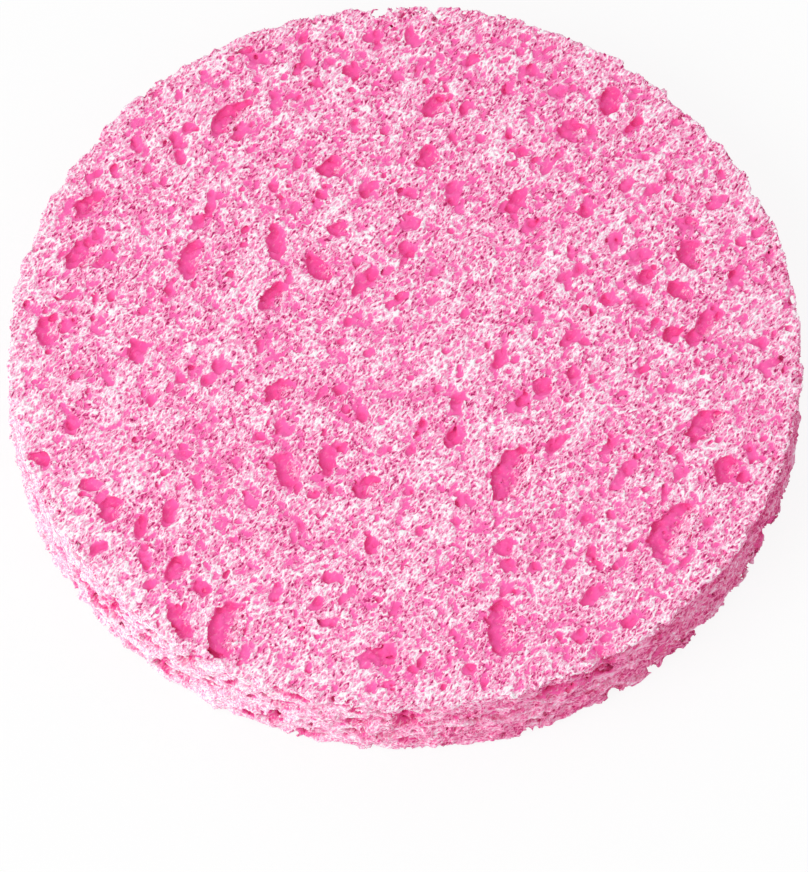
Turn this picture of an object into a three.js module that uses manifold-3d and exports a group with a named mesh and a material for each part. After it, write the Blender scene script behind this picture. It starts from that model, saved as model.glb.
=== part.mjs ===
// Round facial sponge: one disc die-cut from a slab of open-pored cellulose foam, lying on its underside.
// Millimetres, +Z up. The origin is under the middle of the disc, on the surface that it lies on.
import * as THREE from 'three';
import { mergeVertices } from 'three/addons/utils/BufferGeometryUtils.js';
import Module from 'manifold-3d';

const wasm = await Module();
wasm.setup();

// The die-cut blank
const DIAMETER = 80;
const THICKNESS = 10;
const EDGE_ROUND = 0.5; // soft corner between a face and the rim
const OUTLINE_WAVER = 0.25; // how far the cut strays from a true circle
const RIM_LAYERS = 7; // foam layers that show as ridges round the rim
const RIM_GROOVE = 0.25; // depth of the groove between two layers, where it is deepest
const RIM_WANDER = 0.3; // how far a layer rises and falls on its way round
const RIM_STEPS = 72;

// Pores: pits that open in a face or in the rim
const PORE_DEPTH_RATIO = 0.5; // depth of a pore for each millimetre of its width
const PORE_DEEPEST = 2;
const PORE_LEAN = 0.45; // how far a pore's floor lies to one side, for each millimetre of its depth
const PORE_LEAN_BEARING = 165; // the side, in degrees, that the floors lie to
const PORE_LUMPS = 0.16; // unevenness of a pore's outline, as a share of its size
const PORE_COLLAR = 0.5; // how far the cut for a pore stands clear of the face
const FULL_PORE_FROM = 2.6; // pores from this length up have a rounded floor, shorter ones a pointed one
const GRAIN = 55; // bearing, in degrees, along which the foam was drawn out
const GRAIN_SPREAD = 35;
const PORE_WALL = 0.5; // least foam left between two scattered pores
const RIM_LAND = 1; // foam kept between a scattered pore and the rim

// A pore's section from its floor to its mouth, as shares of its half width and its depth
const POINTED_PORE = [[0, -1], [0.8, -0.5], [1, 0]];
const FULL_PORE = [[0, -1], [0.62, -0.88], [0.92, -0.45], [1, 0]];

// Scattered pores
const TOP_SCATTER = 58;
const UNDER_SCATTER = 78;
const TOP_SCATTER_LENGTH = [1.2, 2.4];
const UNDER_SCATTER_LENGTH = [1.2, 5.5];
const SCATTER_SLIMNESS = [0.5, 0.85]; // width for each millimetre of length
const RESTING_LAND = 3; // radius of plain foam at the middle of the underside

// Rim pores: slits that lie along the layers
const RIM_PORES = 40;
const RIM_PORE_LENGTH = [1.6, 4.2];
const RIM_PORE_HEIGHT = [0.8, 1.7];
const RIM_PORE_DEPTH = [0.8, 1.6];

// Tears in the lower edge: bearing in degrees, length along the edge and depth into it
const TEARS = [
  [-22, 2.2, 0.8],
  [-29, 1.6, 0.7],
  [-35, 3.0, 1.5],
  [-41, 2.4, 1.1],
  [-51, 1.6, 0.6],
  [-58, 1.8, 0.7],
];
const TEAR_HEIGHT = 1.6;

// Large pores of the upper face, as they lie on a disc of this diameter: x, y, length, width and the
// bearing of the long axis in degrees. On a disc of another size they spread with the face.
const LARGE_PORE_DISC = 80;
const LARGE_PORES = [
  // Far left
  [-17.6, 27.2, 6.0, 2.4, 48], [-31.8, 17.3, 3.8, 2.2, 40], [-32.4, 11.6, 4.6, 2.8, 30],
  [-36.0, 3.0, 3.8, 2.4, 72], [-21.6, 11.0, 5.2, 2.0, 70], [-12.9, 13.0, 4.6, 1.8, 85],
  [-7.4, 21.6, 2.9, 2.1, 50], [-6.8, 14.4, 2.3, 2.2, 0], [-8.6, 10.0, 3.7, 2.2, 120],
  [-3.9, 8.7, 4.2, 1.6, 50], [-13.2, 6.6, 4.2, 2.3, 50], [-26.9, 0.4, 3.4, 1.7, 85],
  // Far right
  [3.3, 28.7, 4.2, 1.8, 45], [17.2, 25.7, 2.8, 2.5, 0], [21.0, 29.2, 3.2, 2.3, 80],
  [23.6, 26.3, 2.9, 1.5, 25], [2.5, 22.8, 2.9, 2.2, 80], [5.0, 18.6, 3.5, 1.3, 80],
  [11.4, 17.6, 4.0, 1.7, 65], [18.5, 16.6, 2.5, 1.8, 50], [24.6, 9.2, 2.7, 1.5, 50],
  [28.6, 15.2, 2.5, 1.7, 0], [31.6, 17.4, 2.5, 1.6, 40], [29.2, 11.6, 3.6, 2.8, 70],
  [28.0, 7.4, 3.2, 1.9, 140], [30.4, 3.2, 5.0, 2.4, 55],
  // Near left
  [-12.6, -4.0, 3.2, 2.4, 45], [-11.8, -13.0, 4.6, 2.3, 115], [-7.7, -12.0, 4.0, 1.9, 95],
  [-3.7, -15.1, 3.6, 2.3, 25], [-33.5, -8.0, 2.5, 1.6, 95], [-29.4, -17.6, 3.2, 2.3, 70],
  [-26.4, -19.2, 3.1, 1.4, 75], [-23.6, -18.0, 3.2, 1.7, 80], [-26.0, -23.4, 3.3, 1.3, 80],
  [-22.8, -24.2, 3.3, 2.1, 60], [-20.4, -26.4, 3.0, 1.6, 120], [-22.5, -30.3, 5.2, 2.2, 115],
  [-17.9, -31.4, 7.4, 3.6, 76],
  // Near right
  [9.7, -0.4, 2.3, 1.9, 60], [14.0, -3.5, 2.1, 2.0, 0], [5.3, -5.5, 2.7, 1.3, 80],
  [15.5, -9.9, 3.0, 1.4, 45], [22.5, -12.9, 4.2, 1.4, 52], [30.7, -7.9, 4.8, 3.1, 40],
  [32.6, -13.0, 3.2, 2.5, 60], [11.0, -13.5, 6.0, 4.3, 70], [27.2, -19.9, 7.6, 3.9, 52],
  [10.2, -21.8, 2.6, 1.4, 25], [9.9, -30.9, 6.2, 3.3, 85], [19.0, -27.3, 3.6, 1.5, 52],
  [22.7, -30.3, 2.1, 1.7, 60],
];

const FOAM_PINK = 0xf690bb;
const RADIUS = DIAMETER / 2;
const PORE_REACH = (1 + PORE_LUMPS) / 2; // farthest that an outline strays from its middle, per mm of length
const radians = THREE.MathUtils.degToRad;

// Repeatable random numbers, so that every copy of the sponge has the same scatter
let randomState = 41;
function random(low, high) {
  randomState = (Math.imul(randomState, 1664525) + 1013904223) >>> 0;
  return low + (high - low) * (randomState / 4294967296);
}

// Booleans: a closed three.js geometry becomes a solid, and a cut solid becomes a geometry again
function solidFrom(geometry) {
  geometry.deleteAttribute('normal');
  geometry.deleteAttribute('uv');
  const merged = mergeVertices(geometry, 1e-4);
  const corners = merged.index.array;
  const kept = [];
  for (let i = 0; i < corners.length; i += 3) {
    const triangle = [corners[i], corners[i + 1], corners[i + 2]];
    if (new Set(triangle).size === 3) kept.push(...triangle);
  }
  return new wasm.Manifold(new wasm.Mesh({
    numProp: 3,
    vertProperties: new Float32Array(merged.attributes.position.array),
    triVerts: new Uint32Array(kept),
  }));
}

function geometryFrom(solid) {
  const mesh = solid.getMesh();
  const geometry = new THREE.BufferGeometry();
  geometry.setAttribute('position', new THREE.BufferAttribute(mesh.vertProperties, 3));
  geometry.setIndex(new THREE.BufferAttribute(mesh.triVerts, 1));
  geometry.computeVertexNormals();
  return geometry;
}

// The blank: a revolved disc whose rim steps in and out with the foam's layers
function blankProfile() {
  const wallHeight = THICKNESS - 2 * EDGE_ROUND;
  const bands = 2 * RIM_LAYERS - 2;
  const points = [new THREE.Vector2(0, 0), new THREE.Vector2(RADIUS - EDGE_ROUND, 0)];
  for (let i = 0; i <= bands; i += 1) {
    const inset = i % 2 === 1 ? RIM_GROOVE : 0;
    points.push(new THREE.Vector2(RADIUS - inset, EDGE_ROUND + (wallHeight * i) / bands));
  }
  points.push(new THREE.Vector2(RADIUS - EDGE_ROUND, THICKNESS), new THREE.Vector2(0, THICKNESS));
  return points;
}

// How far the cut line lies outside the true circle at a bearing
function outlineStray(bearing) {
  const slow = Math.sin(3 * bearing + 0.7) + Math.sin(7 * bearing + 2.1);
  const quick = Math.sin(19 * bearing + 1.3) + Math.sin(31 * bearing + 4.2);
  return OUTLINE_WAVER * (0.35 * slow + 0.3 * quick);
}

// How far the rim is worn in at a bearing and height: ridges stand proud on one stretch and fade on the next
function rimWear(bearing, height) {
  const upTheWall = Math.sin((Math.PI * height) / THICKNESS);
  const patch = Math.sin(13 * bearing + 4.2 * height) * Math.sin(8 * bearing - 2.9 * height);
  return RIM_GROOVE * upTheWall * Math.abs(patch);
}

// How far a layer has risen at a bearing
function rimRise(bearing, height) {
  const upTheWall = Math.sin((Math.PI * height) / THICKNESS);
  return RIM_WANDER * upTheWall * Math.sin(5 * bearing + 0.9 * height);
}

function blankSolid() {
  const geometry = new THREE.LatheGeometry(blankProfile(), RIM_STEPS).rotateX(Math.PI / 2);
  const place = geometry.attributes.position;
  for (let i = 0; i < place.count; i += 1) {
    const distance = Math.hypot(place.getX(i), place.getY(i));
    const height = place.getZ(i);
    if (distance < EDGE_ROUND) continue;
    const bearing = Math.atan2(place.getY(i), place.getX(i));
    const share = (distance + outlineStray(bearing) - rimWear(bearing, height)) / distance;
    place.setXYZ(i, place.getX(i) * share, place.getY(i) * share, height + rimRise(bearing, height));
  }
  geometry.computeBoundingBox();
  const middle = geometry.boundingBox.getCenter(new THREE.Vector3());
  geometry.translate(-middle.x, -middle.y, 0);
  return solidFrom(geometry);
}

// A pore: a pit revolved from floor to mouth, drawn out to its length and made uneven. Its mouth lies at
// z = 0, and a collar above that carries the cut clear of the foam.
function pore(length, width, depth, collar) {
  const section = length < FULL_PORE_FROM ? POINTED_PORE : FULL_PORE;
  const points = section.map(([out, up]) => new THREE.Vector2(out, up * depth));
  const mouth = points[points.length - 1].x;
  points.push(new THREE.Vector2(mouth, collar), new THREE.Vector2(0, collar));
  const sides = 5 + Math.round(length);
  const pit = new THREE.LatheGeometry(points, sides).rotateX(Math.PI / 2);
  const place = pit.attributes.position;
  const [broad, fine] = [random(0, 2 * Math.PI), random(0, 2 * Math.PI)];
  for (let i = 0; i < place.count; i += 1) {
    const turn = Math.atan2(place.getY(i), place.getX(i));
    const reach = 1 + (PORE_LUMPS * (Math.sin(2 * turn + broad) + Math.sin(3 * turn + fine))) / 2;
    place.setXYZ(i, place.getX(i) * reach, place.getY(i) * reach, place.getZ(i));
  }
  return pit.scale(length / 2, width / 2, 1);
}

// A pore of a face: its floor lies off to one side, so that one wall is steep and the other slopes
function facePore({ length, width, bearing }) {
  const depth = Math.min(PORE_DEEPEST, PORE_DEPTH_RATIO * width);
  const leanX = -PORE_LEAN * Math.cos(radians(PORE_LEAN_BEARING));
  const leanY = -PORE_LEAN * Math.sin(radians(PORE_LEAN_BEARING));
  const pit = pore(length, width, depth, PORE_COLLAR).rotateZ(radians(bearing));
  return pit.applyMatrix4(new THREE.Matrix4().makeShear(0, 0, 0, 0, leanX, leanY));
}

// Places for scattered pores, each clear of the pores before it, the rim and the resting land
function scatter(pores, count, [shortest, longest], clearMiddle) {
  while (count > 0) {
    const length = shortest + (longest - shortest) * random(0, 1) ** 2;
    const width = length * random(...SCATTER_SLIMNESS);
    const bearing = GRAIN + random(-GRAIN_SPREAD, GRAIN_SPREAD);
    const distance = RADIUS * Math.sqrt(random(0, 1));
    const turn = random(0, 2 * Math.PI);
    const [x, y] = [distance * Math.cos(turn), distance * Math.sin(turn)];
    const clearOfPores = pores.every((other) => (
      Math.hypot(other.x - x, other.y - y) > PORE_REACH * (other.length + length) + PORE_WALL
    ));
    const clearOfRim = distance + PORE_REACH * length + RIM_LAND + RIM_GROOVE < RADIUS;
    if (clearOfPores && clearOfRim && distance > clearMiddle + PORE_REACH * length) {
      pores.push({ x, y, length, width, bearing });
      count -= 1;
    }
  }
}

// The upper face: the large pores, then small ones between them
function upperPores() {
  const spread = DIAMETER / LARGE_PORE_DISC;
  const pores = LARGE_PORES.map(([x, y, length, width, bearing]) => (
    { x: x * spread, y: y * spread, length, width, bearing }
  ));
  scatter(pores, TOP_SCATTER, TOP_SCATTER_LENGTH, 0);
  return pores.map((place) => facePore(place).translate(place.x, place.y, THICKNESS));
}

// The underside: pores all over, with a plain land in the middle
function lowerPores() {
  const pores = [];
  scatter(pores, UNDER_SCATTER, UNDER_SCATTER_LENGTH, RESTING_LAND);
  return pores.map((place) => facePore(place).rotateX(Math.PI).translate(place.x, place.y, 0));
}

// A slit in the rim: long round the disc, low, and open outwards
function rimSlit(bearing, height, length, tall, deep) {
  const slit = pore(tall, length, deep, RIM_GROOVE + 2 * OUTLINE_WAVER).rotateY(Math.PI / 2);
  return slit.translate(RADIUS - RIM_GROOVE, 0, height).rotateZ(radians(bearing));
}

function rimPores() {
  const slits = [];
  for (let i = 0; i < RIM_PORES; i += 1) {
    const bearing = ((i + random(0.2, 0.8)) * 360) / RIM_PORES;
    const tall = random(...RIM_PORE_HEIGHT);
    const height = random(EDGE_ROUND + tall, THICKNESS - EDGE_ROUND - tall);
    slits.push(rimSlit(bearing, height, random(...RIM_PORE_LENGTH), tall, random(...RIM_PORE_DEPTH)));
  }
  for (const [bearing, length, deep] of TEARS) {
    slits.push(rimSlit(bearing, 0, length, 2 * TEAR_HEIGHT, deep));
  }
  return slits;
}

function spongeGeometry() {
  let foam = blankSolid();
  for (const cut of [...upperPores(), ...lowerPores(), ...rimPores()]) {
    foam = foam.subtract(solidFrom(cut));
  }
  return geometryFrom(foam);
}

const foamMaterial = new THREE.MeshStandardMaterial({ color: FOAM_PINK, roughness: 0.95, metalness: 0 });
const spongeDisc = new THREE.Mesh(spongeGeometry(), foamMaterial);
spongeDisc.name = 'sponge_disc';

const group = new THREE.Group();
group.add(spongeDisc);

export default group;
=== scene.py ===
import math

import bpy
import numpy as np
import openvdb
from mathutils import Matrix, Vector


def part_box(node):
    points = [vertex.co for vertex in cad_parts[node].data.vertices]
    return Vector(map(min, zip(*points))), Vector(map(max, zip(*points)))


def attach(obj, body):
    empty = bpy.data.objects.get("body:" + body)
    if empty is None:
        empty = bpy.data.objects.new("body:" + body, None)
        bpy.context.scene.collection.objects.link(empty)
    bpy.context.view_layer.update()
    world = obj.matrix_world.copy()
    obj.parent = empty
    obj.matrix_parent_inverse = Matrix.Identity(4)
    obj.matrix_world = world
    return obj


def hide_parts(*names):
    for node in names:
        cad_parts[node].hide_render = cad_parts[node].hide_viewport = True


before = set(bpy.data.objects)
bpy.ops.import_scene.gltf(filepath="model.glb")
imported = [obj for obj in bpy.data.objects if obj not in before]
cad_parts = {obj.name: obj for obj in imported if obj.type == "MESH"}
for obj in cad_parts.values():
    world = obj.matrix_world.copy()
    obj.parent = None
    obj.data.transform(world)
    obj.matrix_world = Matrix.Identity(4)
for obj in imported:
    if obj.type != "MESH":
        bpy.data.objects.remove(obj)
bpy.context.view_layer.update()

# The sponge: one disc of regenerated cellulose, cast as a block of foam round salt crystals that leave
# pores of every size, bound with short fibres, sliced, and cut out with a round die. Nothing is fixed
# to it. It starts as the bare disc with its large pores, in millimetres, as a field of distances.
MM = 0.001
FIELD_STEP = 0.125
MARGIN = 0.75
BAND = 0.75
rng = np.random.default_rng(5)

low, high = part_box("sponge_disc")
thickness = (high.z - low.z) / MM
radius = (high.x - low.x) / 2 / MM
corner = np.array(low, np.float32) / MM - MARGIN
field_shape = tuple(math.ceil(side / MM / FIELD_STEP + 2 * MARGIN / FIELD_STEP) for side in high - low)
field_x, field_y, field_z = (
    corner[axis] + FIELD_STEP * np.arange(field_shape[axis], dtype=np.float32) for axis in range(3)
)

disc_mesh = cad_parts["sponge_disc"].data
disc_points = np.empty(len(disc_mesh.vertices) * 3, np.float32)
disc_mesh.vertices.foreach_get("co", disc_points)
disc_points = (disc_points.reshape(-1, 3) / MM - corner) / FIELD_STEP
disc_mesh.calc_loop_triangles()
disc_corners = np.empty(len(disc_mesh.loop_triangles) * 3, np.int32)
disc_mesh.loop_triangles.foreach_get("vertices", disc_corners)
disc_grid = openvdb.FloatGrid.createLevelSetFromPolygons(
    disc_points, triangles=disc_corners.reshape(-1, 3).astype(np.uint32), halfWidth=BAND / FIELD_STEP
)
foam = np.empty(field_shape, np.float32)
disc_grid.copyToArray(foam)
foam *= FIELD_STEP

# The foam was drawn out as it set, so its cells are longer along one bearing.
GRAIN = math.radians(55)
LATTICE_SPARE = 5


def cloud(spacing, upright_spacing, grain_steps=0):
    """Smooth random field with a mean of 0 and a spread of 1, drawn out along the grain by some steps."""
    cells = [
        int(side * FIELD_STEP / step) + LATTICE_SPARE
        for side, step in zip(field_shape, (spacing, spacing, upright_spacing))
    ]
    lattice = rng.standard_normal(cells).astype(np.float32)
    drawn = lattice.copy()
    for step in range(1, grain_steps + 1):
        shift = (round(step * math.cos(GRAIN)), round(step * math.sin(GRAIN)))
        drawn += np.roll(lattice, shift, (0, 1))
        drawn += np.roll(lattice, (-shift[0], -shift[1]), (0, 1))
    for axis, step in enumerate((spacing, spacing, upright_spacing)):
        place = np.arange(field_shape[axis]) * FIELD_STEP / step
        first = np.floor(place).astype(int)
        part = place - first
        # The weights of a cubic spline, which blends four neighbours in the lattice.
        weights = np.zeros((field_shape[axis], cells[axis]), np.float32)
        row = np.arange(field_shape[axis])
        weights[row, first] = (1 - part) ** 3 / 6
        weights[row, first + 1] = (3 * part**3 - 6 * part**2 + 4) / 6
        weights[row, first + 2] = (-3 * part**3 + 3 * part**2 + 3 * part + 1) / 6
        weights[row, first + 3] = part**3 / 6
        drawn = np.moveaxis(np.tensordot(weights, drawn, (1, axis)), 0, axis)
    return np.ascontiguousarray(drawn / drawn.std())


def ease(value, start, end):
    """0 before start, 1 after end and a smooth rise between them."""
    share = np.clip((value - start) / (end - start), 0, 1)
    return share * share * (3 - 2 * share)


# Slopes: the pores all lean one way. In a wide one the left part is a smooth membrane, steep and deep,
# painted hot pink as painted shade, and the right part is a gentle slope of cut cells like the face.
FLOOR_DEPTH = 0.8
SLOPE_STARTS, SLOPE_SET = 0.28, 0.95
NARROW, WIDE = 1.6, 3.0
LIP_DEPTH = 0.25
RIM_ZONE = 1.6
out_from_middle = np.hypot(field_x[:, None], field_y[None, :]).astype(np.float32)


def slope_and_floor(lip_height):
    """Where a face's pores have a slope of cut cells, from 0 to 1, and how deep their floors lie."""
    level = round((lip_height - field_z[0]) / FIELD_STEP)
    open_here = (foam[:, :, level] > 0) & (out_from_middle < radius - RIM_ZONE)
    left_lip = np.maximum.accumulate(np.where(open_here, -radius, field_x[:, None]), 0)
    right_lip = np.minimum.accumulate(np.where(open_here, radius, field_x[:, None])[::-1], 0)[::-1]
    width = np.maximum(right_lip - left_lip, FIELD_STEP)
    across = (field_x[:, None] - left_lip) / width
    slope = open_here * ease(across, SLOPE_STARTS, SLOPE_SET) * ease(width, NARROW, WIDE)
    floor_depth = FLOOR_DEPTH * (1 - slope * np.clip((across - SLOPE_STARTS) / (1 - SLOPE_STARTS), 0, 1))
    return slope.astype(np.float32)[:, :, None], floor_depth.astype(np.float32)[:, :, None]


# Their walls lean in only a little under the lip, so that light reaches the floor.
OVERHANG = 0.25
upper_half = field_z > thickness / 2
for nearest_first in (
    np.flatnonzero(upper_half & (field_z < thickness - FIELD_STEP / 2))[::-1],
    np.flatnonzero(~upper_half & (field_z > FIELD_STEP / 2)),
):
    slack = OVERHANG * FIELD_STEP * np.arange(len(nearest_first), dtype=np.float32)
    foam[:, :, nearest_first] = np.minimum.accumulate(foam[:, :, nearest_first] - slack, 2) + slack
upper_slope, upper_floor = slope_and_floor(thickness - LIP_DEPTH)
lower_slope, lower_floor = slope_and_floor(LIP_DEPTH)

# Rough walls: the large pores lose their roundness, and are no deeper than their floors. The faces stay flat
# and crisp. The soft rim swells to fill the circle of the die, most at its upper edge, and the die cuts it
# off raggedly.
WALL_ROUGHNESS = 0.13
FLOOR_ROUGHNESS = 0.1
ROUGHEST = 2.0
LUMP_SIZE = 0.42
RIM_SWELL = 0.42
EDGE_SWELL = 0.4
EDGE_STARTS, EDGE_FULL = 1.6, 0.3
RAGGEDNESS = 0.18
RAG_SIZE = 0.8
OUTSET = 0.1
wobble = np.clip(cloud(LUMP_SIZE, LUMP_SIZE), -ROUGHEST, ROUGHEST)
near_rim = ease(out_from_middle, radius - RIM_ZONE, radius)[:, :, None]
below_face = np.minimum(field_z, thickness - field_z)
inside_rim = (radius - out_from_middle)[:, :, None]
below_surface = np.minimum(below_face, inside_rim)
foam += WALL_ROUGHNESS * wobble
upper_edge = ease(field_z, thickness - EDGE_STARTS, thickness - EDGE_FULL)
foam -= (RIM_SWELL + EDGE_SWELL * upper_edge) * near_rim
np.maximum(foam, field_z - thickness, out=foam)
np.maximum(foam, -field_z, out=foam)
ragged = RAGGEDNESS * np.clip(cloud(RAG_SIZE, RAG_SIZE), -ROUGHEST, ROUGHEST)
np.maximum(foam, ragged - inside_rim - OUTSET, out=foam)
pore_floor = np.where(upper_half, upper_floor, lower_floor) + FLOOR_ROUGHNESS * wobble
np.minimum(foam, np.maximum(pore_floor - below_face, RIM_ZONE - inside_rim), out=foam)
del pore_floor

# Skin: away from its slope a pore is lined with a smooth membrane, painted hot pink as painted shade in
# the pore.
SKIN_AND_PAINTED_SHADE_FROM, SKIN_AND_PAINTED_SHADE_FULL = 0.12, 0.35
skin_and_painted_shade = (1 - np.where(upper_half, upper_slope, lower_slope)) * (1 - near_rim)
skin_and_painted_shade *= ease(below_face, SKIN_AND_PAINTED_SHADE_FROM, SKIN_AND_PAINTED_SHADE_FULL)

# The lace: the cut leaves thin crests of cell wall standing between shallow cells, deeper in some patches.
CELL_SIZE, CELL_HEIGHT = 0.2, 0.24
FOLD_SIZE = 0.26
PATCH_SIZE = 0.7
PATCH_DEPTH = 0.3
LACE_DEPTH = 0.36
LACE_DEEPEST = 0.4
LACE_IN_PORES = 0.3
LACE_ON_RIM = 0.8
crumple = cloud(FOLD_SIZE, FOLD_SIZE, grain_steps=1)
lace = np.minimum(np.abs(cloud(CELL_SIZE, CELL_HEIGHT, grain_steps=1)), np.abs(crumple))
patch = np.clip(cloud(PATCH_SIZE, PATCH_SIZE, grain_steps=1), -ROUGHEST, ROUGHEST)
lace *= LACE_DEPTH * (1 + PATCH_DEPTH * patch)
np.clip(lace, 0, LACE_DEEPEST, out=lace)
lace *= 1 - (1 - LACE_IN_PORES) * skin_and_painted_shade
below_edge = near_rim * (1 - upper_edge)
lace *= 1 - (1 - LACE_ON_RIM) * below_edge

# The rim: the die cuts across the foam's layers, which stand out as thin ragged shelves.
SHELF_LENGTH, SHELF_HEIGHT = 3.0, 0.25
LAYER_DEPTH = 0.32
LAYER_DEEPEST = 0.4
layers = np.abs(cloud(SHELF_LENGTH, SHELF_HEIGHT))
np.clip(layers * LAYER_DEPTH, 0, LAYER_DEEPEST, out=layers)
cut = np.maximum(lace, layers * below_edge)
foam += cut
del layers, lace

# Cells that the cut opened: rough eggs, each lined with a membrane that fades out towards the cut. The
# membrane's hot pink is painted shade in the cell.
OUTLINE_ROUGHNESS = 0.18
FOLD_SHARE = 0.6
OUTLINE_REACH = 0.8
LINING_AND_PAINTED_SHADE_ENDS, LINING_AND_PAINTED_SHADE_FULL = 1.45, 0.85
LINING_AND_PAINTED_SHADE_BELOW = 0.3


def open_cell(x, y, z, length, width, depth, bearing, lean=0.0, lining_and_painted_shade=1.0):
    """Takes an egg out of the foam: length along the bearing, width across it, depth up and down."""
    reach = max(length, width) * OUTLINE_REACH + FIELD_STEP + abs(lean) * depth / 2
    spans = []
    reach_up = depth / 2 + FIELD_STEP
    for axis, middle, half in ((field_x, x, reach), (field_y, y, reach), (field_z, z, reach_up)):
        first = max(0, int((middle - half - axis[0]) / FIELD_STEP))
        last = min(len(axis), int((middle + half - axis[0]) / FIELD_STEP) + 2)
        spans.append(slice(first, last))
    block = tuple(spans)
    up = (field_z[block[2]] - z)[None, None, :]
    across = (field_x[block[0]] - x)[:, None, None] - lean * up
    away = (field_y[block[1]] - y)[None, :, None]
    along = (across * math.cos(bearing) + away * math.sin(bearing)) / (length / 2)
    aside = (away * math.cos(bearing) - across * math.sin(bearing)) / (width / 2)
    out = np.sqrt(along**2 + aside**2 + (up / (depth / 2)) ** 2)
    out *= 1 + OUTLINE_ROUGHNESS * (wobble[block] + FOLD_SHARE * crumple[block])
    np.maximum(foam[block], (1 - out) * (min(length, width, depth) / 2), out=foam[block])
    # How far the membrane reaches: it smooths the lace, and its hot pink is painted shade.
    membrane_and_painted_shade = lining_and_painted_shade * ease(-out, -LINING_AND_PAINTED_SHADE_ENDS, -LINING_AND_PAINTED_SHADE_FULL)
    membrane_and_painted_shade = membrane_and_painted_shade * ease(below_surface[block], 0.0, LINING_AND_PAINTED_SHADE_BELOW)
    np.maximum(skin_and_painted_shade[block], membrane_and_painted_shade, out=skin_and_painted_shade[block])


# Lesser pores of the upper face, where the photograph has them: x, y, length, width and bearing.
LESSER_PORES = (
    (-21.8, 26.0, 2.0, 1.2, 30), (-15.0, 34.0, 1.9, 1.4, 0), (-13.0, 29.0, 2.6, 1.4, 80),
    (-5.4, 32.7, 2.0, 1.6, 0), (-3.7, 19.0, 2.2, 1.5, 60), (-27.2, 24.3, 1.8, 1.2, 60),
    (-31.0, 13.7, 2.6, 1.2, 115), (-10.0, 34.3, 2.2, 1.2, 80), (-13.2, 19.3, 1.8, 1.0, 80),
    (-20.9, 15.0, 1.6, 1.2, 60), (-30.7, 4.0, 1.8, 0.9, 80), (6.6, 33.7, 2.3, 1.2, 30),
    (0.9, 36.2, 1.8, 1.3, 0), (13.1, 32.7, 1.7, 1.3, 80), (15.8, 30.0, 2.0, 1.3, 60),
    (24.2, 22.7, 1.9, 1.0, 0), (0.4, 18.7, 1.8, 1.2, 0), (0.4, 15.0, 2.4, 1.6, 30),
    (13.0, 15.0, 2.5, 1.2, 25), (18.0, 20.1, 1.4, 1.1, 0), (22.5, 19.4, 2.0, 1.2, 45),
    (21.3, 13.3, 2.3, 1.5, 55), (23.8, 11.4, 2.4, 1.4, 35), (33.6, 9.0, 2.5, 1.6, 50),
    (23.8, 6.4, 1.7, 1.5, 0), (20.8, 6.3, 1.9, 1.4, 20), (16.2, 9.0, 1.8, 1.3, 40),
    (16.9, 2.0, 2.2, 1.5, 35), (35.8, 13.9, 1.8, 1.1, 40), (6.2, 28.3, 1.8, 1.2, 60),
    (-18.6, -1.2, 2.2, 1.5, 60), (-6.4, -3.8, 1.6, 1.3, 40), (-12.1, -8.2, 2.7, 1.2, 130),
    (-4.3, -6.6, 2.4, 1.3, 100), (-36.8, -11.8, 1.9, 1.9, 0), (-31.6, -14.8, 2.2, 1.3, 150),
    (-15.7, -16.6, 2.3, 1.1, 95), (-30.8, -21.8, 1.9, 1.7, 0), (-25.5, -26.0, 1.8, 1.2, 40),
    (-13.0, -27.3, 3.2, 1.2, 70), (-7.2, -25.3, 1.7, 1.3, 40), (-16.0, -33.6, 2.2, 0.9, 60),
    (-2.0, -34.0, 3.2, 2.0, 20), (-30.0, -2.5, 2.6, 1.0, 115), (17.3, -2.2, 1.8, 1.4, 40),
    (1.8, -8.3, 2.3, 1.2, 65), (20.8, -10.4, 2.9, 1.2, 55), (28.0, -13.4, 1.9, 1.3, 20),
    (35.1, -11.0, 2.3, 1.2, 90), (26.3, -15.5, 1.9, 0.9, 80), (18.3, -18.5, 1.7, 1.4, 20),
    (10.5, -24.0, 2.0, 1.2, 60), (10.4, -26.4, 1.9, 1.2, 40), (17.6, -31.9, 2.2, 1.2, 40),
    (11.6, -38.0, 2.2, 1.0, 70), (20.3, -32.2, 2.2, 1.0, 50), (30.7, -19.2, 1.8, 1.0, 60),
)
LEAN = 0.5
LESSER_DEPTH_SHARE = 0.9
for x, y, length, width, bearing in LESSER_PORES:
    open_cell(x, y, thickness, length, width, LESSER_DEPTH_SHARE * width, math.radians(bearing), LEAN)

# Small pores and pinholes scattered over both faces: how many on each, the shortest length and the spread of
# the lengths.
SMALL_PORES = (640, 0.6, 0.26)
PINHOLES = (4600, 0.24, 0.09)
LENGTH_CURVE = 2.0
FACE_MARGIN = 0.5
WIDTH_SHARES = (0.38, 0.75)
BEARING_SPREAD = 0.45
LEAST_DEPTH, DEPTH_SHARE = 0.3, 0.8
LININGS_AND_PAINTED_SHADE = (0.15, 0.9)
for mouth, leaning in ((thickness, LEAN), (0, -LEAN)):
    for count, shortest, spread in (SMALL_PORES, PINHOLES):
        for _ in range(count):
            distance = (radius - FACE_MARGIN) * math.sqrt(rng.random())
            turn = rng.uniform(0, 2 * math.pi)
            length = shortest + rng.gamma(LENGTH_CURVE, spread)
            width = length * rng.uniform(*WIDTH_SHARES)
            bearing = GRAIN + rng.normal(0, BEARING_SPREAD)
            x, y = distance * math.cos(turn), distance * math.sin(turn)
            depth = LEAST_DEPTH + DEPTH_SHARE * width
            lining_and_painted_shade = rng.uniform(*LININGS_AND_PAINTED_SHADE)
            open_cell(x, y, mouth, length, width, depth, bearing, leaning, lining_and_painted_shade)

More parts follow.
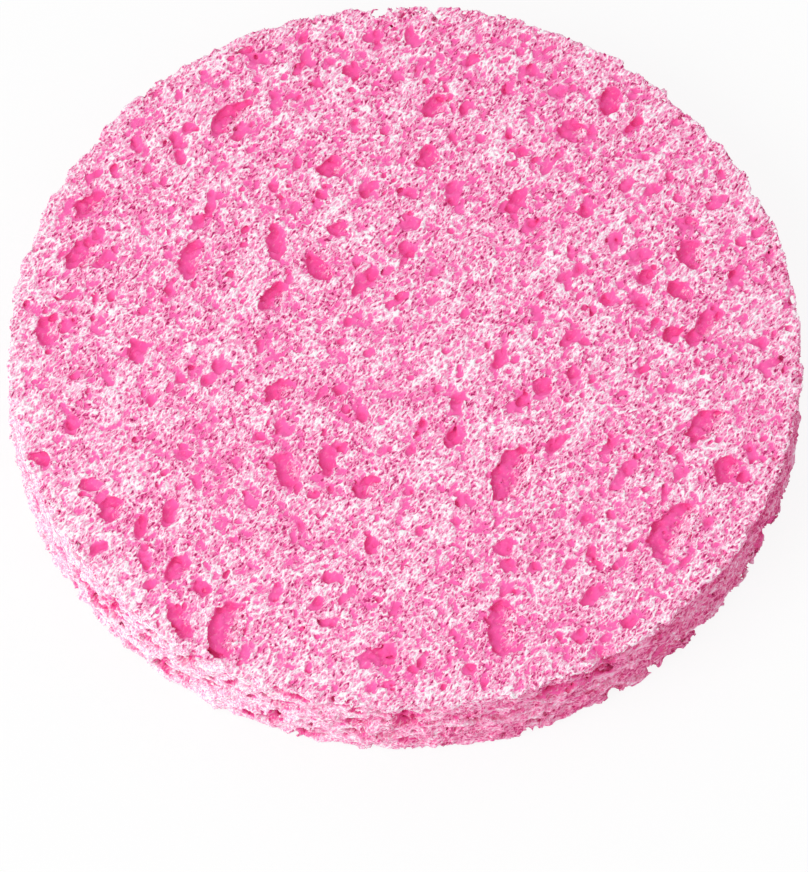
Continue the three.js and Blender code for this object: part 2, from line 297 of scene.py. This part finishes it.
# Pores, slits and pinholes in the rim, flattened along the layers: how many, the shortest length and the
# spread of the lengths, as on the faces.
RIM_PORES = (230, 0.9, 0.5)
RIM_SLITS = (600, 0.4, 0.2)
RIM_PINHOLES = (2200, 0.26, 0.12)
TALL_SHARES, TALLEST = (0.35, 0.7), 1.6
RIM_LEAST_DEPTH, RIM_DEPTH_SHARE = 0.4, 0.9
RIM_FOOT, RIM_TOP = 0.6, 0.8
RIM_LININGS_AND_PAINTED_SHADE = (0.3, 1)
for count, shortest, spread in (RIM_PORES, RIM_SLITS, RIM_PINHOLES):
    for _ in range(count):
        turn = rng.uniform(0, 2 * math.pi)
        length = shortest + rng.gamma(LENGTH_CURVE, spread)
        tall = min(length * rng.uniform(*TALL_SHARES), TALLEST)
        deep = RIM_LEAST_DEPTH + RIM_DEPTH_SHARE * tall
        z = rng.uniform(RIM_FOOT, thickness - RIM_TOP)
        x, y = radius * math.cos(turn), radius * math.sin(turn)
        open_cell(x, y, z, length, 2 * deep, tall, turn + math.pi / 2, lining_and_painted_shade=rng.uniform(*RIM_LININGS_AND_PAINTED_SHADE))

# Bites out of the rim's two edges, where the die tore the foam.
UPPER_BITES, LOWER_BITES = 24, 80
SHORTEST_BITE, BITE_SPREAD = 0.6, 0.35
BITES_DEEP = (0.5, 1.4)
BITES_TALL = (0.6, 2.0)
BITE_LINING_AND_PAINTED_SHADE = 0.3
for edge_height, bites in ((0, LOWER_BITES), (thickness, UPPER_BITES)):
    for _ in range(bites):
        turn = rng.uniform(0, 2 * math.pi)
        length = SHORTEST_BITE + rng.gamma(LENGTH_CURVE, BITE_SPREAD)
        deep = rng.uniform(*BITES_DEEP)
        tall = rng.uniform(*BITES_TALL)
        x, y = radius * math.cos(turn), radius * math.sin(turn)
        open_cell(x, y, edge_height, length, deep, tall, turn + math.pi / 2, lining_and_painted_shade=BITE_LINING_AND_PAINTED_SHADE)

# The field becomes a mesh, and only its outer skin is kept: no crumbs outside it, no bubbles within. Its
# points are numbered by island, and the largest island is the skin.
skin_grid = openvdb.FloatGrid(BAND)
skin_grid.copyFromArray(np.clip(foam, -BAND, BAND))
points, quads = skin_grid.convertToQuads(0.0)
quads = quads.astype(np.int64)
edges = np.concatenate([quads[:, [i, (i + 1) % 4]] for i in range(4)])
island = np.arange(len(points))
while True:
    before = island.copy()
    nearest = np.minimum(island[edges[:, 0]], island[edges[:, 1]])
    np.minimum.at(island, before[edges[:, 0]], nearest)
    np.minimum.at(island, before[edges[:, 1]], nearest)
    island = island[island]
    if np.array_equal(island, before):
        break
largest = np.bincount(island).argmax()
kept = island == largest
renumber = np.cumsum(kept) - 1
quads = renumber[quads[kept[quads[:, 0]]]]
points = points[kept]
places = points * FIELD_STEP + corner


def at_points(field):
    """Reads a field at the points of the mesh."""
    base = np.floor(points).astype(int)
    part = points - base
    total = np.zeros(len(points), np.float32)
    for dx, dy, dz in np.ndindex(2, 2, 2):
        weight = np.abs(1 - dx - part[:, 0]) * np.abs(1 - dy - part[:, 1]) * np.abs(1 - dz - part[:, 2])
        total += weight * field[base[:, 0] + dx, base[:, 1] + dy, base[:, 2] + dz]
    return total


# The quads are turned to face outwards, which makes the volume that they close in come out above 0.
volume_sign = np.einsum("ij,ij->", places[quads[:, 0]], np.cross(places[quads[:, 1]], places[quads[:, 2]]))
if volume_sign < 0:
    quads = quads[:, ::-1]
sponge_mesh = bpy.data.meshes.new("sponge")
sponge_mesh.vertices.add(len(places))
sponge_mesh.vertices.foreach_set("co", (places * MM).astype(np.float32).ravel())
sponge_mesh.loops.add(quads.size)
sponge_mesh.loops.foreach_set("vertex_index", quads.astype(np.int32).ravel())
sponge_mesh.polygons.add(len(quads))
sponge_mesh.polygons.foreach_set("loop_start", np.arange(0, quads.size, 4, dtype=np.int32))
sponge_mesh.update(calc_edges=True)
sponge_mesh.validate()
sponge_mesh.shade_smooth()

# Painted light: on the side towards the lamp the rim and the edge of the face are painted paler, and the
# rim there is painted more like the face. Painted shade: on the other side the foot of the rim is painted
# darker, in patches.
PAINTED_LIGHT_SIDE = math.radians(212)
PAINTED_LIGHT_RIM_TONE, PAINTED_LIGHT_FACE_TONE = 0.19, 0.1
PAINTED_LIGHT_FACE_STARTS, PAINTED_LIGHT_FACE_FULL = 6, 1
FOOT_PAINTED_SHADE = 0.2
FOOT_PAINTED_SHADE_STARTS, FOOT_PAINTED_SHADE_FULL = 2.4, 0.6
PATCH_TONE = 0.03
RIM_LOOK_STARTS, RIM_LOOK_FULL = 1.2, 0.2
RIM_LOOK_BELOW = 1.0
FACE_LOOK_ON_PAINTED_LIGHT_RIM = 0.55
height = places[:, 2]
out_from_axis = np.maximum(np.hypot(places[:, 0], places[:, 1]), 1)
towards_painted_light = (places[:, 0] * math.cos(PAINTED_LIGHT_SIDE) + places[:, 1] * math.sin(PAINTED_LIGHT_SIDE)) / out_from_axis
on_rim = ease(out_from_axis, radius - RIM_LOOK_STARTS, radius - RIM_LOOK_FULL)
on_rim = on_rim * ease(thickness - height, 0.0, RIM_LOOK_BELOW)
patchiness = at_points(patch)
# Painted shade: darker at the foot of the rim away from the lamp, in patches.
painted_shade_at_foot = ease(-height, -FOOT_PAINTED_SHADE_STARTS, -FOOT_PAINTED_SHADE_FULL) * ease(-towards_painted_light, start=-0.5, end=0.3)
painted_shade_at_foot = painted_shade_at_foot * ease(patchiness, start=-1, end=1)
face_edge = ease(out_from_axis, radius - PAINTED_LIGHT_FACE_STARTS, radius - PAINTED_LIGHT_FACE_FULL)
# Painted light: paler towards the lamp, at the rim and at the edge of the face.
painted_light = ease(towards_painted_light, start=0.2, end=1) * (PAINTED_LIGHT_RIM_TONE * on_rim + PAINTED_LIGHT_FACE_TONE * face_edge)
# Painted light: towards the lamp the rim is painted more like the face.
painted_light_face_look = FACE_LOOK_ON_PAINTED_LIGHT_RIM * ease(towards_painted_light, start=-0.1, end=0.7)
mesh_values = {
    "cut_depth": at_points(cut),
    "membrane_and_painted_shade": at_points(skin_and_painted_shade),
    "sunk": np.minimum(np.minimum(height, thickness - height), radius + OUTSET - out_from_axis),
    # Painted light and painted shade at the rim, and a random change of colour in patches.
    "tone_with_painted_light_and_shade": painted_light - FOOT_PAINTED_SHADE * on_rim * painted_shade_at_foot - PATCH_TONE * patchiness,
    # The rim's own look, which painted light makes more like the face towards the lamp.
    "on_rim": on_rim * (1 - painted_light_face_look),
}
for name, values in mesh_values.items():
    attribute = sponge_mesh.attributes.new(name, "FLOAT", "POINT")
    attribute.data.foreach_set("value", values.astype(np.float32))

# Its flat pattern, for painted copies of its colours: the two faces side by side, and the rim unrolled in
# three strips above them. A wall goes with the surface that it lies nearest to.
FACE_SHARE, UNDERSIDE_SHARE = 0.58, 0.4
RIM_STRIPS = 3
STRIP_STEP, STRIP_HEIGHT = 0.135, 0.12
PATTERN_GAP = 0.01
half_width = radius + OUTSET + RAGGEDNESS * ROUGHEST
quad_corners = places[quads]
quad_middles = quad_corners.mean(1)
quad_below = np.minimum(quad_middles[:, 2], thickness - quad_middles[:, 2])
quad_inside = radius + OUTSET - np.hypot(quad_middles[:, 0], quad_middles[:, 1])
of_rim = (quad_inside < quad_below)[:, None, None]
of_face = (quad_middles[:, 2] > thickness / 2)[:, None, None]
unit = (quad_corners[:, :, :2] / half_width + 1) / 2
from_above = PATTERN_GAP / 2 + FACE_SHARE * unit
from_below = np.array([FACE_SHARE + 1.5 * PATTERN_GAP, PATTERN_GAP / 2]) + UNDERSIDE_SHARE * unit
quad_turn = np.arctan2(quad_middles[:, 1], quad_middles[:, 0])[:, None]
corner_turn = np.arctan2(quad_corners[:, :, 1], quad_corners[:, :, 0])
past = (corner_turn - quad_turn + math.pi) % (2 * math.pi) - math.pi
strips_round = RIM_STRIPS * (quad_turn / (2 * math.pi) + 0.5)
strip = np.minimum(np.floor(strips_round), RIM_STRIPS - 1)
along_strip = strips_round - strip + RIM_STRIPS * past / (2 * math.pi)
up_strip = STRIP_STEP * strip + STRIP_HEIGHT * quad_corners[:, :, 2] / thickness
unrolled = np.stack(
    [
        PATTERN_GAP + (1 - 2 * PATTERN_GAP) * along_strip,
        FACE_SHARE + 1.5 * PATTERN_GAP + up_strip,
    ],
    2,
)
pattern = np.where(of_rim, unrolled, np.where(of_face, from_above, from_below))
flat_pattern = sponge_mesh.uv_layers.new(name="OFBake")
flat_pattern.uv.foreach_set("vector", pattern.astype(np.float32).ravel())
sponge = bpy.data.objects.new("sponge", sponge_mesh)
bpy.context.scene.collection.objects.link(sponge)

# Pink foam: the cut crests are pale, partly their own paler colour and partly painted light, the cells
# between them pink, and the membranes of the pores hot pink as painted shade. A net of finer pale strands
# runs over the crests and cells.
foam_pink = bpy.data.materials.new("pink_cellulose_foam")
foam_pink.use_nodes = True
nodes = foam_pink.node_tree.nodes
links = foam_pink.node_tree.links
shader = nodes["Principled BSDF"]
shader.inputs["Specular IOR Level"].default_value = 0.15


def mesh_value(name):
    """Reads one of the values that the mesh holds at its points."""
    value = nodes.new("ShaderNodeAttribute")
    value.attribute_name = name
    return value.outputs["Fac"]


def rise(source, start, end, first=0.0, last=1.0):
    """Goes smoothly from first to last as the source goes from start to end."""
    step = nodes.new("ShaderNodeMapRange")
    step.interpolation_type = "SMOOTHSTEP"
    for name, number in (("From Min", start), ("From Max", end), ("To Min", first), ("To Max", last)):
        step.inputs[name].default_value = number
    links.new(source, step.inputs["Value"])
    return step.outputs["Result"]


def reckon(operation, *values):
    """Works out one value from others, which may be plain numbers."""
    answer = nodes.new("ShaderNodeMath")
    answer.operation = operation
    for socket, value in zip(answer.inputs, values):
        if isinstance(value, float):
            socket.default_value = value
        else:
            links.new(value, socket)
    return answer.outputs["Value"]


where = nodes.new("ShaderNodeTexCoord")


def drawn_out(along, across, up):
    """Places on the sponge, turned to the grain, in steps of these lengths in millimetres."""
    turned = nodes.new("ShaderNodeMapping")
    turned.vector_type = "TEXTURE"
    turned.inputs["Rotation"].default_value = (0, 0, GRAIN)
    turned.inputs["Scale"].default_value = (along * MM, across * MM, up * MM)
    links.new(where.outputs["Object"], turned.inputs["Vector"])
    return turned.outputs["Vector"]


def mottle(spots, per_step, detail=0.0):
    """Cloudy noise with this many lumps to a step."""
    noise = nodes.new("ShaderNodeTexNoise")
    noise.inputs["Scale"].default_value = per_step
    noise.inputs["Detail"].default_value = detail
    links.new(spots, noise.inputs["Vector"])
    return noise.outputs["Fac"]


def strands(spots, per_step, thick):
    """A net of bent strands: 1 along the middle of a strand, 0 between strands."""
    aside = reckon("ABSOLUTE", reckon("SUBTRACT", mottle(spots, per_step), 0.5))
    return rise(aside, start=0.0, end=thick, first=1.0, last=0.0)


# How pale each place is: what the strands, crests and speckle add to the cells, on the face and on the rim.
# The crests add painted light as well as their own paleness, and the dark gaps are painted shade.
NET_PALENESS, FIBRE_PALENESS, CREST_PALENESS_AND_PAINTED_LIGHT = 0.38, 0.34, 0.16
SHELF_PALENESS, SHELF_SHADE = 0.24, -0.14
RIM_SPECKLE, RIM_FIBRE_PALENESS, RIM_CREST_PALENESS_AND_PAINTED_LIGHT = 0.5, 0.26, 0.18
CELL_PALENESS = 0.33
along_grain = drawn_out(along=1.8, across=1.0, up=0.8)
along_layers = drawn_out(along=12, across=12, up=1.5)
# Crests: partly their own paler colour, partly painted light on the crests.
crest_with_painted_light = rise(mesh_value("cut_depth"), start=0.02, end=0.16, first=1.0, last=0.0)
grain = mottle(along_grain, per_step=3.8, detail=1.0)
speckle = rise(grain, start=0.36, end=0.64, first=-0.19, last=0.19)
# Painted shade: dark specks that stand for the shade in the finest gaps between the strands.
painted_shade_gaps = rise(mottle(along_grain, per_step=3.0), start=0.28, end=0.4, first=-0.28, last=0.0)
cells = rise(mottle(along_grain, per_step=0.95), start=0.35, end=0.65, first=-0.03, last=0.03)
fibres = strands(along_grain, per_step=2.7, thick=0.13)
net = reckon("MULTIPLY_ADD", strands(along_grain, per_step=1.6, thick=0.09), NET_PALENESS, cells)
net = reckon("MULTIPLY_ADD", fibres, FIBRE_PALENESS, net)
crests_and_gaps_with_painted_light_and_shade = reckon("MULTIPLY_ADD", crest_with_painted_light, CREST_PALENESS_AND_PAINTED_LIGHT, painted_shade_gaps)
pale_face = reckon("ADD", reckon("ADD", net, speckle), crests_and_gaps_with_painted_light_and_shade)
shelf_lines = strands(along_layers, per_step=1.4, thick=0.1)
pale_rim = reckon("MULTIPLY_ADD", shelf_lines, SHELF_PALENESS, SHELF_SHADE)
pale_rim = reckon("MULTIPLY_ADD", speckle, RIM_SPECKLE, pale_rim)
pale_rim = reckon("MULTIPLY_ADD", fibres, RIM_FIBRE_PALENESS, pale_rim)
pale_rim = reckon("MULTIPLY_ADD", crest_with_painted_light, RIM_CREST_PALENESS_AND_PAINTED_LIGHT, pale_rim)
rim_over_face = reckon("SUBTRACT", pale_rim, pale_face)
paleness = reckon("MULTIPLY_ADD", mesh_value("on_rim"), rim_over_face, pale_face)
paleness = reckon("ADD", paleness, reckon("ADD", mesh_value("tone_with_painted_light_and_shade"), CELL_PALENESS))

# The tints that go with it, from the darkest painted shade in the gaps to the palest crests.
CUT_TINTS = (
    (0.0, (0.42, 0.02, 0.12, 1)),
    (0.15, (0.7, 0.07, 0.26, 1)),
    (0.33, (0.91, 0.23, 0.46, 1)),
    (0.66, (0.97, 0.58, 0.76, 1)),
    (0.95, (1.0, 0.96, 0.98, 1)),
)
cut_tint = nodes.new("ShaderNodeValToRGB")
links.new(paleness, cut_tint.inputs["Fac"])
stops = cut_tint.color_ramp.elements
for place, colour in CUT_TINTS[1:-1]:
    stops.new(place)
for stop, (place, colour) in zip(stops, CUT_TINTS):
    stop.position = place
    stop.color = colour

# Membranes are hot pink as painted shade in the pores, with more painted shade, a deeper tint, where they
# lie deeper, and a mottled edge.
SHALLOW_PORE_PAINTED_SHADE = (0.97, 0.15, 0.46, 1)
DEEP_PORE_PAINTED_SHADE = (0.92, 0.1, 0.38, 1)
pore_painted_shade = nodes.new("ShaderNodeMix")
pore_painted_shade.data_type = "RGBA"
pore_painted_shade.inputs["A"].default_value = SHALLOW_PORE_PAINTED_SHADE
pore_painted_shade.inputs["B"].default_value = DEEP_PORE_PAINTED_SHADE
links.new(rise(mesh_value("sunk"), start=0.2, end=0.95), pore_painted_shade.inputs["Factor"])
mottled_edge = rise(grain, start=0.36, end=0.64, first=-0.25, last=0.25)
# Where the hot pink of painted shade covers the pores.
membrane_and_painted_shade = reckon("ADD", mesh_value("membrane_and_painted_shade"), mottled_edge)
tint = nodes.new("ShaderNodeMix")
tint.data_type = "RGBA"
links.new(rise(membrane_and_painted_shade, start=0.26, end=0.9), tint.inputs["Factor"])
links.new(cut_tint.outputs["Color"], tint.inputs["A"])
links.new(pore_painted_shade.outputs["Result"], tint.inputs["B"])
links.new(tint.outputs["Result"], shader.inputs["Base Color"])
links.new(rise(grain, start=0.3, end=0.7, first=0.8, last=1.0), shader.inputs["Roughness"])
relief = nodes.new("ShaderNodeBump")
relief.inputs["Strength"].default_value = 0.5
relief.inputs["Distance"].default_value = 0.08 * MM
links.new(grain, relief.inputs["Height"])
links.new(relief.outputs["Normal"], shader.inputs["Normal"])
sponge_mesh.materials.append(foam_pink)

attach(sponge, "root")
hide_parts("sponge_disc")

# The floor: a plain white sheet that the sponge lies on, wide enough to fill every view. The camera sees
# it mostly lit from within, so that it stays white and the sponge's shadow on it stays pale.
FLOOR_GLOW = 0.88
bpy.ops.mesh.primitive_plane_add(size=12)
floor = bpy.context.object
floor.name = "floor"
white_floor = bpy.data.materials.new("white_floor")
white_floor.use_nodes = True
floor_nodes = white_floor.node_tree.nodes
floor_links = white_floor.node_tree.links
matt_white = floor_nodes["Principled BSDF"]
matt_white.inputs["Base Color"].default_value = (0.9, 0.9, 0.9, 1)
matt_white.inputs["Roughness"].default_value = 1.0
matt_white.inputs["Specular IOR Level"].default_value = 0.0


def seen_directly(tree):
    """A factor of 1 for rays from the camera, and for what is mirrored in or seen through the object."""
    ray = tree.nodes.new("ShaderNodeLightPath")
    most = ray.outputs["Is Camera Ray"]
    for kind in ("Is Glossy Ray", "Is Transmission Ray"):
        larger = tree.nodes.new("ShaderNodeMath")
        larger.operation = "MAXIMUM"
        tree.links.new(most, larger.inputs[0])
        tree.links.new(ray.outputs[kind], larger.inputs[1])
        most = larger.outputs["Value"]
    return most


glow = floor_nodes.new("ShaderNodeEmission")
glowing_white = floor_nodes.new("ShaderNodeMixShader")
glowing_white.inputs["Fac"].default_value = FLOOR_GLOW
floor_links.new(matt_white.outputs["BSDF"], glowing_white.inputs[1])
floor_links.new(glow.outputs["Emission"], glowing_white.inputs[2])
floor_as_seen = floor_nodes.new("ShaderNodeMixShader")
floor_links.new(seen_directly(white_floor.node_tree), floor_as_seen.inputs["Fac"])
floor_links.new(matt_white.outputs["BSDF"], floor_as_seen.inputs[1])
floor_links.new(glowing_white.outputs["Shader"], floor_as_seen.inputs[2])
floor_links.new(floor_as_seen.outputs["Shader"], floor_nodes["Material Output"].inputs["Surface"])
floor.data.materials.append(white_floor)

# The light: a broad soft lamp above the near left of the sponge, and pale even light from all round. The
# camera sees plain white where that light comes from.
scene = bpy.context.scene
scene.view_settings.view_transform = "Standard"
world = bpy.data.worlds.new("studio")
scene.world = world
world.use_nodes = True
sky_nodes = world.node_tree.nodes
sky_links = world.node_tree.links
studio_light = sky_nodes["Background"]
studio_light.inputs["Color"].default_value = (1, 1, 1, 1)
studio_light.inputs["Strength"].default_value = 0.7
white_backdrop = sky_nodes.new("ShaderNodeBackground")
white_backdrop.inputs["Color"].default_value = (1, 1, 1, 1)
white_backdrop.inputs["Strength"].default_value = 1.0
sky_as_seen = sky_nodes.new("ShaderNodeMixShader")
sky_links.new(seen_directly(world.node_tree), sky_as_seen.inputs["Fac"])
sky_links.new(studio_light.outputs["Background"], sky_as_seen.inputs[1])
sky_links.new(white_backdrop.outputs["Background"], sky_as_seen.inputs[2])
sky_links.new(sky_as_seen.outputs["Shader"], sky_nodes["World Output"].inputs["Surface"])
lamp = bpy.data.lights.new("left_softbox", "AREA")
lamp.shape = "DISK"
lamp.size = 0.5
lamp.energy = 2.2
lamp_holder = bpy.data.objects.new("left_softbox", lamp)
lamp_holder.location = (-0.38, -0.28, 0.48)
lamp_holder.rotation_euler = (-lamp_holder.location).to_track_quat("-Z", "Y").to_euler()
scene.collection.objects.link(lamp_holder)

# The camera: far off, because the far half of the face looks no smaller than the near half. The ellipse of
# the face in the photograph is that of a disc seen from 62 degrees above it, and half a degree is added
# because the ragged edge of the mesh lies a little inside the true circle.
ELEVATION = math.radians(62.5)
DISTANCE = 3.0
PIXELS_PER_MM = 9.89
FACE_ABOVE_MIDDLE_PX = 82
FACE_RIGHT_OF_MIDDLE_PX = 1
IMAGE_HEIGHT_PX = 872
camera_data = bpy.data.cameras.new("camera")
camera_data.sensor_fit = "VERTICAL"
camera_data.sensor_height = 24
camera_data.lens = PIXELS_PER_MM / MM * DISTANCE / IMAGE_HEIGHT_PX * camera_data.sensor_height
camera = bpy.data.objects.new("camera", camera_data)
backwards = Vector((0, -math.cos(ELEVATION), math.sin(ELEVATION)))
upwards = Vector((0, math.sin(ELEVATION), math.cos(ELEVATION)))
aim = Vector((0, 0, high.z)) - upwards * (FACE_ABOVE_MIDDLE_PX / PIXELS_PER_MM * MM)
aim.x -= FACE_RIGHT_OF_MIDDLE_PX / PIXELS_PER_MM * MM
camera.location = aim + backwards * DISTANCE
camera.rotation_euler = (math.pi / 2 - ELEVATION, 0, 0)
scene.collection.objects.link(camera)
scene.camera = camera
